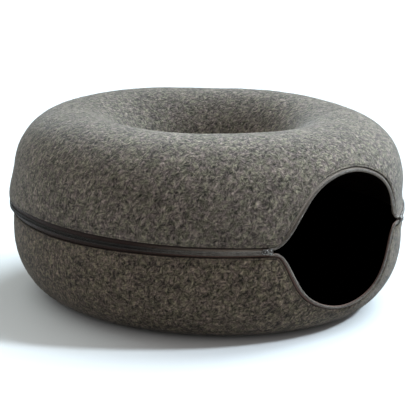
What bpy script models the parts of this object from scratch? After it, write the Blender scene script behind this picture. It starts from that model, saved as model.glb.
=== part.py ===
"""A felt cat cave: two moulded felt halves, zipped round the rim into a hollow ring.

Metres, +Z up.  The ring stands on z = 0 with its axis upright, and its doorway
faces -Y.  The origin is the middle of the whole, a little behind the axis,
because the doorway takes the ring's foremost part away.  A bearing is an angle
about the axis, from -Y towards +X.
On each half a place is given by its bearing, by how far along the felt's outer
face it lies from the zip, and by how deep it lies under that face.
"""
import math

import bmesh
import bpy
import numpy as np
from mathutils import Matrix, Vector

# The ring's section ---------------------------------------------------------
RING_RADIUS = 0.275       # from the axis to the outer face, at the zip
RING_HEIGHT = 0.2575
ZIP_HEIGHT = 0.130
RIDGE_RADIUS = 0.178      # where the top is highest
FOOT_OUTER = 0.202        # the flat foot runs between these two radii
FOOT_INNER = 0.154
HOLE_RADIUS = 0.079       # at the waist of the centre hole
WAIST_HEIGHT = 0.1185
ROUND_TOP = 2.40          # superellipse exponents of the section's quarters
ROUND_FOOT = 2.23
ROUND_HOLE = 2.0
OVAL = 0.036              # longer from front to back, narrower from side to side
OVAL_TURN = math.radians(4.8)
AXIS_FORWARD = 0.0065     # the axis stands in front of the middle of the whole
FELT = 0.004
SEAM_GAP = 0.0003         # each half keeps this from the waist's middle

# How the soft ring has settled ------------------------------------------------
ZIP_DIP = 0.0046          # the zip line sags at the left front, and rises behind
ZIP_DIP_BEARING = math.radians(-55)
RIDGE_DIP = 0.0024        # the ridge is lower on the left
RIDGE_DIP_BEARING = math.radians(-84)
SWAY = 0.0012             # shallow waves of the hand-worked felt
ZIP_BENDS = ((42, 42, 0.0070), (-138, 40, -0.0062))    # bearing and spread in degrees, rise
HOLLOWS = {     # bearing and spread in degrees, distance from the zip, reach, depth
    "upper": ((-125, 60, 0.048, 0.017, 0.0018), (-120, 45, 0.105, 0.050, -0.0020),
              (98, 40, 0.170, 0.070, -0.0027), (165, 30, 0.180, 0.060, -0.0026),
              (40, 35, 0.020, 0.018, 0.0032), (40, 30, 0.090, 0.030, -0.0020),
              (-38, 18, 0.008, 0.007, 0.0025), (-125, 50, 0.014, 0.014, -0.0016)),
    "lower": ((-125, 75, 0.015, 0.030, 0.0045), (40, 35, 0.026, 0.016, 0.0018),
              (40, 40, 0.075, 0.032, -0.0022)),
}

# The doorway: how far each half is cut back from the zip line -----------------
DOOR_HALF_ANGLE = math.radians(25.5)
DOOR_CROWN = math.radians(2)       # where the cuts reach furthest
DOOR = {    # the cut's reach and how domed it is, then how full and flared on each side
    "upper": {"reach": 0.0853, "dome": 0.73, "left": (6.2, 3.4), "right": (11.5, 13.0)},
    "lower": {"reach": 0.0917, "dome": 0.83, "left": (8.9, 5.8), "right": (8.3, 28.0)},
}

# The zip ----------------------------------------------------------------------
TAPE = 0.001
TAPE_HOLD = 0.010         # how far the tape is sewn in behind the felt
TAPE_GAP = 0.0005         # between the felt's inner face and the tape
TAPE_EDGE = 0.0003        # from the zip line to the tape's free edge
TAPE_DEPTH = 0.0021       # under the chain, where the tape rises to it
GAP_NARROW = 0.0062       # from the zip line to the felt's edge, at the doorway
GAP_WIDE = 0.0088         # and behind, where the band of tape shows wider
GAP_GROWS = math.radians(60)
GAP_SAGS = {    # bearing and spread in degrees, and how much wider the gap is there
    "upper": ((30, 20, 0.0015),),
    "lower": ((-105, 45, 0.0038), (28, 16, 0.0030)),
}
CHAIN_WIDTH = 0.006
CHAIN_PROUD = 0.0008
CHAIN_CROWN = 0.0004
CHAIN_THICK = 0.0021
COIL_RADIUS = 0.0013
COIL_OFFSET = 0.0016
COIL_DEPTH = 0.0005
SLIDER_LENGTH = 0.012
SLIDER_REAR = 0.0066
SLIDER_FRONT = 0.0088
SLIDER_CLEAR = 0.0004
SLIDER_SINK = 0.0017      # below the felt's face, to just above the tape
SLIDER_BASE = 0.0011
SLIDER_TOP = 0.0025
CAP_LIP = 0.0004          # the cap stands out past the base
ARCH_MIDDLE = -0.0008
ARCH_LENGTH = 0.0042
ARCH_WIDTH = 0.0024
ARCH_HEIGHT = 0.0024
ARCH_WALL = 0.0008
RING_LENGTH = 0.0078
RING_WIDTH = 0.0046
RING_WIRE = 0.0005
RING_GAP = 0.0003
JOIN = 0.0002             # how far joined shapes reach into each other

# The mesh: how many steps each stretch takes ----------------------------------
DOOR_COLUMNS = 28
CORNER_CROWDING = 0.6     # how much the doorway's columns crowd to its corners
BACK_COLUMNS = 40
QUARTER_ROWS = 7
FOOT_ROWS = 1
EDGE_ROW = 0.012          # a short first row, beside the tape
WAIST_ROW = 0.006         # and a short last row, at the waist

COLOURS = {               # base colour, roughness, metallic
    "felt": ((0.115, 0.112, 0.104), 0.95, 0.0),
    "tape": ((0.032, 0.026, 0.023), 0.85, 0.0),
    "coil": ((0.065, 0.067, 0.062), 0.5, 0.0),
    "metal": ((0.62, 0.62, 0.64), 0.3, 1.0),
}


# The felt's outer face --------------------------------------------------------
def quarter(upright_end, level_end, roundness, steps=160):
    """A superellipse quarter, from where it stands upright to where it lies level."""
    turn = np.linspace(0.0, math.pi / 2, steps)
    r_share = np.cos(turn).clip(0.0) ** (2 / roundness)
    z_share = np.sin(turn) ** (2 / roundness)
    r = level_end[0] + (upright_end[0] - level_end[0]) * r_share
    z = upright_end[1] + (level_end[1] - upright_end[1]) * z_share
    return np.column_stack([r, z])


class Section:
    """The section line of one half, from the zip to the waist of the hole."""

    def __init__(self, level_outer, level_inner, roundness, outward):
        zip_end = (RING_RADIUS, ZIP_HEIGHT)
        waist_end = (HOLE_RADIUS, WAIST_HEIGHT + outward * SEAM_GAP)
        outer = quarter(zip_end, level_outer, roundness)
        inner = quarter(waist_end, level_inner, ROUND_HOLE)[::-1]
        if level_outer == level_inner:
            inner = inner[1:]
        line = np.vstack([outer, inner])
        self.r, self.z = line[:, 0], line[:, 1]
        steps = np.hypot(np.diff(self.r), np.diff(self.z))
        self.along = np.concatenate([[0.0], np.cumsum(steps)])
        tangent_r = np.gradient(self.r, self.along)
        tangent_z = np.gradient(self.z, self.along)
        self.normal_r = outward * tangent_z
        self.normal_z = -outward * tangent_r
        self.level_outer = self.along[len(outer) - 1]
        self.level_inner = self.along[len(line) - len(inner)]
        self.length = self.along[-1]
        self.outer_steps = len(outer)

    def at_height(self, rise):
        """How far along the outer face a height above or below the zip is reached."""
        climb = np.abs(self.z[:self.outer_steps] - ZIP_HEIGHT)
        return np.interp(rise, climb, self.along[:self.outer_steps])


RIDGE = (RIDGE_RADIUS, RING_HEIGHT)
SECTIONS = {
    "upper": Section(RIDGE, RIDGE, ROUND_TOP, 1),
    "lower": Section((FOOT_OUTER, 0.0), (FOOT_INNER, 0.0), ROUND_FOOT, -1),
}


def ease(share):
    share = np.clip(share, 0.0, 1.0)
    return share * share * (3 - 2 * share)


def wrapped(bearing):
    return math.remainder(bearing, 2 * math.pi)


def window(bearing, middle, spread):
    """One at a bearing, fading to none at so many degrees to either side."""
    away = wrapped(bearing - math.radians(middle)) / math.radians(spread)
    return math.cos(away * math.pi / 2) ** 2 if abs(away) < 1 else 0.0


def felt_gap(half, bearing):
    """From the zip line to the felt's edge, measured square to that line."""
    past_door = (abs(bearing) - DOOR_HALF_ANGLE) / GAP_GROWS
    gap = GAP_NARROW + (GAP_WIDE - GAP_NARROW) * ease(past_door)
    return gap + sum(most * window(bearing, middle, spread) for middle, spread, most in GAP_SAGS[half])


def oval(bearing):
    """How much further out the ring lies at a bearing than its section says."""
    return 1 + OVAL * math.cos(2 * (bearing - OVAL_TURN))


def hollow(half, bearing, along):
    """How deep the felt has sunk under the full section; where it bulges, less than none."""
    depth = sum(most * window(bearing, middle, spread) * math.exp(-((along - distance) / reach) ** 2)
                for middle, spread, distance, reach, most in HOLLOWS[half])
    return depth * min(1.0, along / felt_gap(half, bearing)) ** 2


def place(half, bearing, along, depth=0.0):
    """The point at a bearing, so far along the felt's face and so deep under it."""
    section = SECTIONS[half]
    depth = depth + hollow(half, bearing, along)
    r = np.interp(along, section.along, section.r)
    z = np.interp(along, section.along, section.z)
    lift = ease(z / 0.05)
    depth -= SWAY * lift * math.sin(3 * bearing + 0.7) * math.cos(11 * z + 2 * bearing)
    r -= depth * np.interp(along, section.along, section.normal_r)
    flat_foot = 0.0 if z == 0.0 else 1.0
    zip_weight = z / ZIP_HEIGHT if z < ZIP_HEIGHT else (RING_HEIGHT - z) / (RING_HEIGHT - ZIP_HEIGHT)
    top_weight = max(0.0, (z - ZIP_HEIGHT) / (RING_HEIGHT - ZIP_HEIGHT))
    z -= depth * np.interp(along, section.along, section.normal_z)
    rise = sum(most * window(bearing, middle, spread) for middle, spread, most in ZIP_BENDS)
    z -= flat_foot * zip_weight * (ZIP_DIP * math.cos(bearing - ZIP_DIP_BEARING) - rise)
    z -= top_weight * RIDGE_DIP * math.cos(bearing - RIDGE_DIP_BEARING)
    r *= oval(bearing)
    return Vector((r * math.sin(bearing), -r * math.cos(bearing) - AXIS_FORWARD, z))


# The doorway's outline ----------------------------------------------------------
def door_cut(half, bearing):
    """How far along the face the zip's free edge is, and zero where the zip is shut."""
    if abs(bearing) >= DOOR_HALF_ANGLE:
        return 0.0
    side, corner = ("left", -DOOR_HALF_ANGLE) if bearing < DOOR_CROWN else ("right", DOOR_HALF_ANGLE)
    across = (bearing - DOOR_CROWN) / (corner - DOOR_CROWN)
    fullness, flare = DOOR[half][side]
    dome = 1 - DOOR[half]["dome"] * across ** 2
    rise = DOOR[half]["reach"] * dome * (1 - across ** fullness) ** flare
    return float(SECTIONS[half].at_height(rise))


def beside(half, bearing, offset):
    """Along the face, at an offset square to the zip's free edge."""
    step = math.radians(0.2)
    here = door_cut(half, bearing)
    slope = door_cut(half, bearing + step) - door_cut(half, bearing - step)
    radius = np.interp(here, SECTIONS[half].along, SECTIONS[half].r)
    run = 2 * step * radius * oval(bearing)
    return here + offset * math.hypot(1.0, slope / run)


# Meshes -------------------------------------------------------------------------
def fresh_collection():
    for old in list(bpy.data.objects):
        bpy.data.objects.remove(old, do_unlink=True)
    group = bpy.data.collections.new("felt_cat_cave")
    bpy.context.scene.collection.children.link(group)
    return group


def material(name):
    colour, roughness, metallic = COLOURS[name]
    made = bpy.data.materials.new(name)
    made.use_nodes = True
    shader = made.node_tree.nodes["Principled BSDF"]
    shader.inputs["Base Color"].default_value = (*colour, 1.0)
    shader.inputs["Roughness"].default_value = roughness
    shader.inputs["Metallic"].default_value = metallic
    return made


def add_object(name, data, finish, group):
    data.materials.append(finish)
    made = bpy.data.objects.new(name, data)
    group.objects.link(made)
    return made


def sheet_mesh(name, columns, rows, point, closed):
    """A grid of columns by rows whose points are given by point(column, row)."""
    mesh = bmesh.new()
    bmesh.ops.create_grid(mesh, x_segments=columns, y_segments=rows, size=0.5)
    mesh.verts.ensure_lookup_table()
    for vert in mesh.verts:
        column = round((vert.co.x + 0.5) * columns)
        row = round((vert.co.y + 0.5) * rows)
        vert.co = point(column, row)
    if closed:
        bmesh.ops.remove_doubles(mesh, verts=mesh.verts, dist=1e-5)
    bmesh.ops.recalc_face_normals(mesh, faces=mesh.faces)
    data = bpy.data.meshes.new(name)
    mesh.to_mesh(data)
    mesh.free()
    data.shade_smooth()
    return data


def thicken(made, thickness, inward_of):
    """Solidify towards the hollow, which lies behind the faces that look outward."""
    centre, looks = made.data.polygons[0].center, made.data.polygons[0].normal
    outward = looks.dot(centre - inward_of(centre)) > 0
    solidify = made.modifiers.new("thickness", "SOLIDIFY")
    solidify.thickness = thickness
    solidify.offset = -1.0 if outward else 1.0
    solidify.use_even_offset = True
    solidify.use_quality_normals = True
    return made


def tunnel_centre(point):
    """The middle of the hollow ring, nearest to a point."""
    flat = Vector((point.x, point.y + AXIS_FORWARD, 0.0)).normalized()
    middle = (RING_RADIUS + HOLE_RADIUS) / 2
    return flat * middle + Vector((0.0, 0.0, RING_HEIGHT / 2))


def ring_bearings():
    """Close-set columns at the doorway's corners, and wider ones round the back."""
    across = np.linspace(-1.0, 1.0, DOOR_COLUMNS + 1)
    crowded = np.sin(across * math.pi / 2)
    door = DOOR_HALF_ANGLE * (CORNER_CROWDING * crowded + (1 - CORNER_CROWDING) * across)
    back = np.linspace(DOOR_HALF_ANGLE, 2 * math.pi - DOOR_HALF_ANGLE, BACK_COLUMNS + 1)
    return [float(b) for b in np.concatenate([door, back[1:]])]


def shell(half, finish, group):
    """One moulded half of the felt, from its zipped edge to the waist."""
    section = SECTIONS[half]
    bearings = ring_bearings()

    def stations(bearing):
        edge = beside(half, bearing, felt_gap(half, bearing))
        first = edge + EDGE_ROW
        last = section.length - WAIST_ROW
        outer = np.linspace(first, section.level_outer, QUARTER_ROWS + 1)
        foot = np.linspace(section.level_outer, section.level_inner, FOOT_ROWS + 1)
        inner = np.linspace(section.level_inner, last, QUARTER_ROWS + 1)
        if half == "upper":
            foot = foot[:1]
        return np.concatenate([[edge], outer, foot[1:], inner[1:], [section.length]])

    table = [stations(wrapped(b)) for b in bearings]

    def point(column, row):
        return place(half, wrapped(bearings[column]), float(table[column][row]))

    rows = len(table[0]) - 1
    data = sheet_mesh(f"{half}_shell", len(bearings) - 1, rows, point, closed=True)
    return thicken(add_object(data.name, data, finish, group), FELT, tunnel_centre)


def tape(half, finish, group):
    """One side of the zip's tape: sewn in behind the felt, rising to the chain."""
    bearings = ring_bearings()
    behind = FELT + TAPE_GAP

    def across(bearing):
        gap = felt_gap(half, bearing)
        return [(TAPE_EDGE, TAPE_DEPTH), (CHAIN_WIDTH / 2, TAPE_DEPTH),
                (gap, behind), (gap + TAPE_HOLD, behind)]

    def point(column, row):
        bearing = wrapped(bearings[column])
        offset, depth = across(bearing)[row]
        if row == 3:
            along = beside(half, bearing, across(bearing)[2][0]) + TAPE_HOLD
        else:
            along = beside(half, bearing, offset)
        return place(half, bearing, along, depth)

    data = sheet_mesh(f"zip_tape_{half}", len(bearings) - 1, 3, point, closed=True)
    return thicken(add_object(data.name, data, finish, group), TAPE, tunnel_centre)


def slider_angle():
    radius = RING_RADIUS * oval(DOOR_HALF_ANGLE)
    return (SLIDER_LENGTH / 2 + SLIDER_CLEAR) / radius


def chain(finish, group):
    """The closed zip, from one slider round the back to the other."""
    start = DOOR_HALF_ANGLE + slider_angle()
    inside = [b for b in ring_bearings() if b > start and b < 2 * math.pi - start]
    bearings = [start] + inside + [2 * math.pi - start]
    rows = 4

    def point(column, row):
        share = row / rows * 2 - 1
        half = "upper" if share >= 0 else "lower"
        depth = CHAIN_CROWN * share * share - CHAIN_PROUD
        return place(half, wrapped(bearings[column]), abs(share) * CHAIN_WIDTH / 2, depth)

    data = sheet_mesh("zip_chain", len(bearings) - 1, rows, point, closed=False)
    return thicken(add_object(data.name, data, finish, group), CHAIN_THICK, tunnel_centre)


def tube(name, points, radius, cyclic, finish, group):
    curve = bpy.data.curves.new(name, "CURVE")
    curve.dimensions = "3D"
    curve.bevel_depth = radius
    curve.bevel_resolution = 2
    curve.use_fill_caps = True
    spline = curve.splines.new("POLY")
    spline.points.add(len(points) - 1)
    spline.use_cyclic_u = cyclic
    for target, point in zip(spline.points, points):
        target.co = (*point, 1.0)
    return add_object(name, curve, finish, group)


def coil(half, finish, group):
    """The zip's open coil along one side of the doorway."""
    reach = DOOR_HALF_ANGLE - slider_angle()
    bearings = [-reach] + [b for b in ring_bearings() if abs(b) < reach] + [reach]
    points = [place(half, b, beside(half, b, COIL_OFFSET), COIL_DEPTH) for b in bearings]
    return tube(f"coil_{half}", points, COIL_RADIUS, False, finish, group)


# The sliders --------------------------------------------------------------------
def slider_frame(side):
    """Local axes at a corner of the doorway: x into the doorway, y up, z outward."""
    corner = side * DOOR_HALF_ANGLE
    origin = place("upper", corner, 0.0)
    step = math.radians(0.5)
    towards = place("upper", corner - side * step, 0.0) - origin
    x = towards.normalized()
    up = Vector((0.0, 0.0, 1.0))
    y = (up - x * up.dot(x)).normalized()
    z = x.cross(y)
    if z.dot(origin) < 0:
        y, z = -y, -z
    turned = Matrix((x, y, z)).transposed().to_4x4()
    return Matrix.Translation(origin) @ turned


def plate(name, outline, low, high):
    """A flat outline, filled and extruded between two heights, as a mesh."""
    curve = bpy.data.curves.new(name, "CURVE")
    curve.dimensions = "2D"
    curve.fill_mode = "BOTH"
    curve.extrude = (high - low) / 2
    spline = curve.splines.new("POLY")
    spline.points.add(len(outline) - 1)
    spline.use_cyclic_u = True
    for target, (x, y) in zip(spline.points, outline):
        target.co = (x, y, 0.0, 1.0)
    holder = bpy.data.objects.new(name, curve)
    bpy.context.scene.collection.objects.link(holder)
    evaluated = holder.evaluated_get(bpy.context.evaluated_depsgraph_get())
    data = bpy.data.meshes.new_from_object(evaluated)
    bpy.data.objects.remove(holder, do_unlink=True)
    mesh = bmesh.new()
    mesh.from_mesh(data)
    bmesh.ops.remove_doubles(mesh, verts=mesh.verts, dist=1e-6)
    bmesh.ops.translate(mesh, verts=mesh.verts, vec=(0.0, 0.0, (high + low) / 2))
    mesh.to_mesh(data)
    mesh.free()
    return data


def slider_outline(grow):
    """Narrow at the rear, with two shoulders and a blunt nose at the open end."""
    rear, front = SLIDER_REAR / 2 + grow, SLIDER_FRONT / 2 + grow
    end = SLIDER_LENGTH / 2 + grow
    side = [(-end, 0.6 * rear), (-0.9 * end, rear), (0.1 * end, rear),
            (0.45 * end, front), (0.9 * end, front), (end, 0.6 * front)]
    return side + [(x, -y) for x, y in reversed(side)]


def block(name, low, high):
    """A plain block between two corners, as a mesh."""
    mesh = bmesh.new()
    bmesh.ops.create_cube(mesh, size=1.0)
    bmesh.ops.scale(mesh, verts=mesh.verts, vec=Vector(high) - Vector(low))
    bmesh.ops.translate(mesh, verts=mesh.verts, vec=(Vector(high) + Vector(low)) / 2)
    data = bpy.data.meshes.new(name)
    mesh.to_mesh(data)
    mesh.free()
    return data


def combine(target, name, data, operation, cutters):
    """Join a hidden shape to an object, or cut it away."""
    other = bpy.data.objects.new(name, data)
    cutters.objects.link(other)
    other.matrix_world = target.matrix_world
    other.hide_render = True
    other.display_type = "WIRE"
    change = target.modifiers.new(name, "BOOLEAN")
    change.operation = operation
    change.object = other


def slider(side, name, finish, group, cutters):
    """A slider of one body: its base on the tape, its cap, and the arch for the pull."""
    base = plate(name, slider_outline(0.0), -SLIDER_SINK, SLIDER_BASE)
    made = add_object(name, base, finish, group)
    made.matrix_world = slider_frame(side)
    cap = plate("cap", slider_outline(CAP_LIP), SLIDER_BASE - JOIN, SLIDER_TOP)
    combine(made, f"{name}_cap", cap, "UNION", cutters)
    rear, front = ARCH_MIDDLE - ARCH_LENGTH / 2, ARCH_MIDDLE + ARCH_LENGTH / 2
    arch = block("arch", (rear, -ARCH_WIDTH / 2, SLIDER_TOP - JOIN),
                 (front, ARCH_WIDTH / 2, SLIDER_TOP + ARCH_HEIGHT))
    combine(made, f"{name}_arch", arch, "UNION", cutters)
    eye = block("eye", (rear + ARCH_WALL, -ARCH_WIDTH, SLIDER_TOP + JOIN),
                (front - ARCH_WALL, ARCH_WIDTH, SLIDER_TOP + ARCH_HEIGHT - ARCH_WALL))
    combine(made, f"{name}_eye", eye, "DIFFERENCE", cutters)


def pull(side, name, finish, group):
    """A small wire ring through the arch, lying back along the chain."""
    front, rear = ARCH_MIDDLE, ARCH_MIDDLE - RING_LENGTH
    corner = RING_WIDTH / 2
    turns = np.linspace(-math.pi / 2, math.pi / 2, 7)
    nose = [(front, -corner), (front, corner)]
    tail = [(rear + corner - corner * math.cos(t), -corner * math.sin(t)) for t in turns]
    level = SLIDER_TOP + RING_GAP + RING_WIRE
    points = [(x, y, level) for x, y in nose + tail]
    made = tube(name, points, RING_WIRE, True, finish, group)
    made.matrix_world = slider_frame(side)


def build():
    group = fresh_collection()
    cutters = bpy.data.collections.new("cutters")
    bpy.context.scene.collection.children.link(cutters)
    finish = {name: material(name) for name in COLOURS}
    for half in SECTIONS:
        shell(half, finish["felt"], group)
        tape(half, finish["tape"], group)
        coil(half, finish["coil"], group)
    chain(finish["coil"], group)
    for side, name in ((-1, "left"), (1, "right")):
        slider(side, f"slider_{name}", finish["metal"], group, cutters)
        pull(side, f"pull_{name}", finish["metal"], group)


build()
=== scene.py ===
"""The looks of a felt cat cave: two moulded felt halves, zipped round the rim.

Metres, +Z up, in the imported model's frame; the doorway faces -Y.  A bearing is an
angle about the ring's axis, from -Y towards +X.  On each half a place is given by
its bearing, by how far along the felt's outer face it lies from the zip, and by how
deep it lies under that face.  The functions below take arrays of these.
"""
import math

import bmesh
import bpy
import numpy as np
from mathutils import Matrix, Vector, noise


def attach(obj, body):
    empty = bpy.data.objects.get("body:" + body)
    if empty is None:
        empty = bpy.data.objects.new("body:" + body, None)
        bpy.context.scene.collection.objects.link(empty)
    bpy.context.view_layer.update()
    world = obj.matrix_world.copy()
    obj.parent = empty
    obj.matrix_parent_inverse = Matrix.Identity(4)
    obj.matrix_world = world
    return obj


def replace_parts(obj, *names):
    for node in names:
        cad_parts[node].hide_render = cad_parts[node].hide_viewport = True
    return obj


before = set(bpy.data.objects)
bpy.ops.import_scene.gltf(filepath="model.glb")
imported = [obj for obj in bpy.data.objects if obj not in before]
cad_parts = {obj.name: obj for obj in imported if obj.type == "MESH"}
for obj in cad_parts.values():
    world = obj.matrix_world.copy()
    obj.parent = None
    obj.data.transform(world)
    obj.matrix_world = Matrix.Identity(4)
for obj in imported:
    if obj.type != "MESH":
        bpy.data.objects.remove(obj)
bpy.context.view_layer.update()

# The ring's section, as in the solids -----------------------------
RING_RADIUS = 0.275
RING_HEIGHT = 0.2575
ZIP_HEIGHT = 0.130
RIDGE_RADIUS = 0.178
FOOT_OUTER = 0.202
FOOT_INNER = 0.154
HOLE_RADIUS = 0.079
WAIST_HEIGHT = 0.1185
ROUND_TOP = 2.40
ROUND_FOOT = 2.23
ROUND_HOLE = 2.0
OVAL = 0.036
OVAL_TURN = math.radians(4.8)
AXIS_FORWARD = 0.0065
FELT = 0.004

# How the soft ring has settled ------------------------------------
ZIP_DIP = 0.0046
ZIP_DIP_BEARING = math.radians(-55)
RIDGE_DIP = 0.0024
RIDGE_DIP_BEARING = math.radians(-84)
SWAY = 0.0012             # how far the face waves in and out
SWAY_FROM = 0.05          # in full from this height
ZIP_BENDS = ((42, 42, 0.0070), (-138, 40, -0.0062))    # bearing and spread in degrees, rise
HOLLOWS = {     # bearing and spread in degrees, distance from the zip, reach, depth
    "upper": ((-125, 60, 0.048, 0.017, 0.0018), (-120, 45, 0.105, 0.050, -0.0020),
              (98, 40, 0.170, 0.070, -0.0027), (165, 30, 0.180, 0.060, -0.0026),
              (40, 35, 0.020, 0.018, 0.0032), (40, 30, 0.090, 0.030, -0.0020),
              (-38, 18, 0.008, 0.007, 0.0025), (-125, 50, 0.014, 0.014, -0.0016)),
    "lower": ((-125, 75, 0.015, 0.030, 0.0045), (40, 35, 0.026, 0.016, 0.0018),
              (40, 40, 0.075, 0.032, -0.0022)),
}

# The doorway ------------------------------------------------------
DOOR_HALF_ANGLE = math.radians(25.5)
DOOR_CROWN = math.radians(2)
DOOR = {    # the cut's reach and how domed it is, then how full and flared on each side
    "upper": {"reach": 0.0853, "dome": 0.73, "left": (6.2, 3.4), "right": (11.5, 13.0)},
    "lower": {"reach": 0.0917, "dome": 0.83, "left": (8.9, 5.8), "right": (8.3, 28.0)},
}
GAP_NARROW = 0.0062       # from the zip line to the felt's edge, at the doorway
GAP_WIDE = 0.0088         # and behind
GAP_GROWS = math.radians(60)
GAP_SAGS = {    # bearing and spread in degrees, and how much wider the gap is there
    "upper": ((30, 20, 0.0015),),
    "lower": ((-105, 45, 0.0038), (28, 16, 0.0030)),
}
CORNER_LIFT = {"upper": 0.0030, "lower": 0.0010}    # how far the sliders spread the free edges
CORNER_RISE = math.radians(1.1)     # the full lift is reached so far past the corner
CORNER_HOLD = math.radians(2)       # it fades from here
CORNER_FALL = math.radians(6)       # over this stretch

# The zip ----------------------------------------------------------
TAPE_THICK = 0.0008
TAPE_HOLD = 0.010         # how far the tape is sewn in behind the felt
TAPE_GAP = 0.0005
TAPE_EDGE = 0.00002
TAPE_DEPTH = 0.0019       # under the coils
TAPE_MIDDLE = 0.0016      # from the zip line to the middle of the flat part
TAPE_FLAT = 0.003         # and to its end
TAPE_STEPS = 9
TAPE_HOLD_STEPS = 4
TAPE_DIVE = 3             # how late the tape dives behind the felt, where the zip is shut
TAPE_DIVE_OPEN = 8        # and where it is open
TAPE_OPEN = 0.03          # the free edge's reach at which it counts as open
COIL_PITCH = 0.00135
COIL_WIRE = 0.00034
COIL_MIDDLE = 0.00135     # the coil's middle, from the zip line
COIL_REACH = 0.0013       # from there to the wire's middle, each way
COIL_DEPTH = 0.00045
COIL_RISE = 0.0009
COIL_STEPS = 8            # points a turn
THREAD_WIRE = 0.00017     # the thread that sews each coil to its tape
THREAD_OFFSET = 0.0021
THREAD_DIP = 0.0002       # how far it dips between the turns
THREAD_STEPS = 3
LINE_POINTS = 6001

# The seams --------------------------------------------------------
SEAM_OFFSET = 0.0024      # from the felt's cut edge to the line of stitches
SEAM_SINK = 0.0007        # how deep the stitches pull the felt in
SEAM_WIDTH = 0.0007
SEAM_PULLED = (-25, 7, 1.3)    # where it is deeper below: bearing and spread in degrees, share
STITCH_LENGTH = 0.0032
STITCH_WIRE = 0.00022
STITCH_FORM = (           # how far along a stitch, and how deep
    (0.07, 0.0011), (0.16, 0.0003), (0.5, -0.0001), (0.84, 0.0003), (0.93, 0.0011),
)
WAIST_PITCH = 0.0085
WAIST_BITE = 0.0042
WAIST_WIRE = 0.00045
WAIST_LEAN = 0.4          # share of the pitch by which a whip stitch leans
WAIST_SCATTER = 0.008
WAIST_RISE = 0.0004
WAIST_DIVE = 0.0018

# The felt ---------------------------------------------------------
CUT_ROUND = 0.0013        # how rounded the cut edge is
CUT_FULLNESS = 0.6
WAIST_ROUND = 0.0006
WAIST_STEPS = 3
DOOR_COLUMNS = 132
BACK_COLUMNS = 288
CORNER_CROWDING = 0.6
EDGE_FADE = 3             # how soon the columns turn from the cut edge to the waist
EDGE_ROWS = (0.0013, 0.0018, 0.0021, 0.0024, 0.0027, 0.0030, 0.0036, 0.0048, 0.0064, 0.0085)
FACE_ROWS = 84
INNER_ROWS = 24
ROUND_ROWS = 6
RELIEF = ((0.011, 0.00022), (0.030, 0.00040))    # sizes and heights of its lumps
RELIEF_FADE = 12          # they fade over a twelfth of the face, towards the waist
RELIEF_AT_SEAM = 0.4
FOOT_EASE = 0.02          # and under this height, towards the flat foot
FUZZ_COUNT = 9000
FUZZ_WIRE = 0.00006
FUZZ_TAPER = (0.5, 1.0, 1.0, 0.4)
FUZZ_LENGTH = (0.003, 0.008)
FUZZ_RISE = (0.0002, 0.0011)
FUZZ_ROOT = 0.0003        # how deep its ends are rooted
FUZZ_BEND = 0.9
FUZZ_FROM_CUT = 0.003
FUZZ_OVER_FLOOR = 0.004

# The sliders and their pulls --------------------------------------
SLIDER_LENGTH = 0.012
SLIDER_BACK = 0.0018      # how far each slider has been drawn back from the corner
SLIDER_LIFT = 0.0015
SLIDER_TIP = math.radians(14)    # how far its face has tipped upward
SLIDER_REAR = 0.0066
SLIDER_FRONT = 0.0088
SLIDER_SINK = 0.0017      # the lower plate's underside, under the coils
SLIDER_FOOT = 0.0007      # and its thickness
SLIDER_BASE = 0.0011      # the upper plate's underside
SLIDER_TOP = 0.0025
SLIDER_SLOPE = 0.0006     # from the top down to the upper plate's edge
SLIDER_CROWN = 0.0004
SLIDER_RIM = 0.0011
SLIDER_LIP = 0.0003       # how far the upper plate reaches over the lower one
SLIDER_BEVELS = (0.0004, 0.0002)
SLIDER_BOSSES = (         # middles and half sizes
    ((0.0034, 0.0, 0.0021), (0.0027, 0.0038, 0.0019)),
    ((-0.0036, 0.0008, 0.0020), (0.0020, 0.0026, 0.0013)),
)
FLANGE_INSET = 0.00025
FLANGE_MIDDLE = -0.0003
FLANGE_HALF = (0.0005, 0.0016)    # half its width and height
ARCH_MIDDLE = -0.0008
ARCH_LENGTH = 0.0042
ARCH_WIDTH = 0.0024
ARCH_HEIGHT = 0.0022
ARCH_FOOT = 0.0022
ARCH_WIRE = 0.0005
ARCH_POINTS = 13
RING_LENGTH = 0.0078
RING_WIDTH = 0.0046
RING_WIRE = 0.0005
RING_GAP = 0.0003
RING_PLAY = 0.0002
RING_SAG = 0.0006
RING_POINTS = 40

# The finishes -----------------------------------------------------
FELT_CURL = (0.012, 0.010)    # the size and the reach of the drift that curls the fibres
FLECK_TURNS = ((0.25, 0.1, 0.0), (0.8, 0.3, 1.0), (-0.7, 0.5, 2.4), (1.45, 0.0, 0.3))
FELT_STROKES = (    # how thick and how long, then how much they shade and raise the felt
    (0.0040, 0.0120, 1.45, 1.0), (0.0021, 0.0080, 1.5, 0.7), (0.0008, 0.0040, 0.12, 0.35),
)
FELT_DARKEST = 0.4
FELT_CURVE = 2.0
CLOUD_SIZE = 0.03
HUE_SIZE = 0.007
HUE_SHIFTS = ((0.95, 1.015, 0.90), (1.05, 0.98, 1.06))
RIB_PITCH = 0.00062
WEFT_PITCH = 0.00048
PATCH_SIZE = 0.004
WEAR_SIZE = 0.0016
STRIP_STARTS = (0.0040, 0.0050)    # the tape takes less of the painted light beyond here
# how much of that painted light the outer strip loses
STRIP_DARK = 0.75
OPEN_HEIGHTS = (0.135, 0.150)      # but not above here, where the zip is open
PAINTED_LIGHT_FRONT = (-0.25, -0.12)        # the zip's painted light is fullest before the first Y, and gone after the second

# The camera, as fitted to the photograph --------------------------
PHOTO_SIDE = 416
AZIMUTH = math.radians(-42)
ELEVATION = math.radians(13.27)
ROLL = math.radians(1.05)
DISTANCE = 1.941
FOCAL_PIXELS = 1372.1
AIM = Vector((0.0, -AXIS_FORWARD, 0.1287))
AIM_PIXEL = (205.38, 199.83)
SENSOR = 36.0

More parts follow.
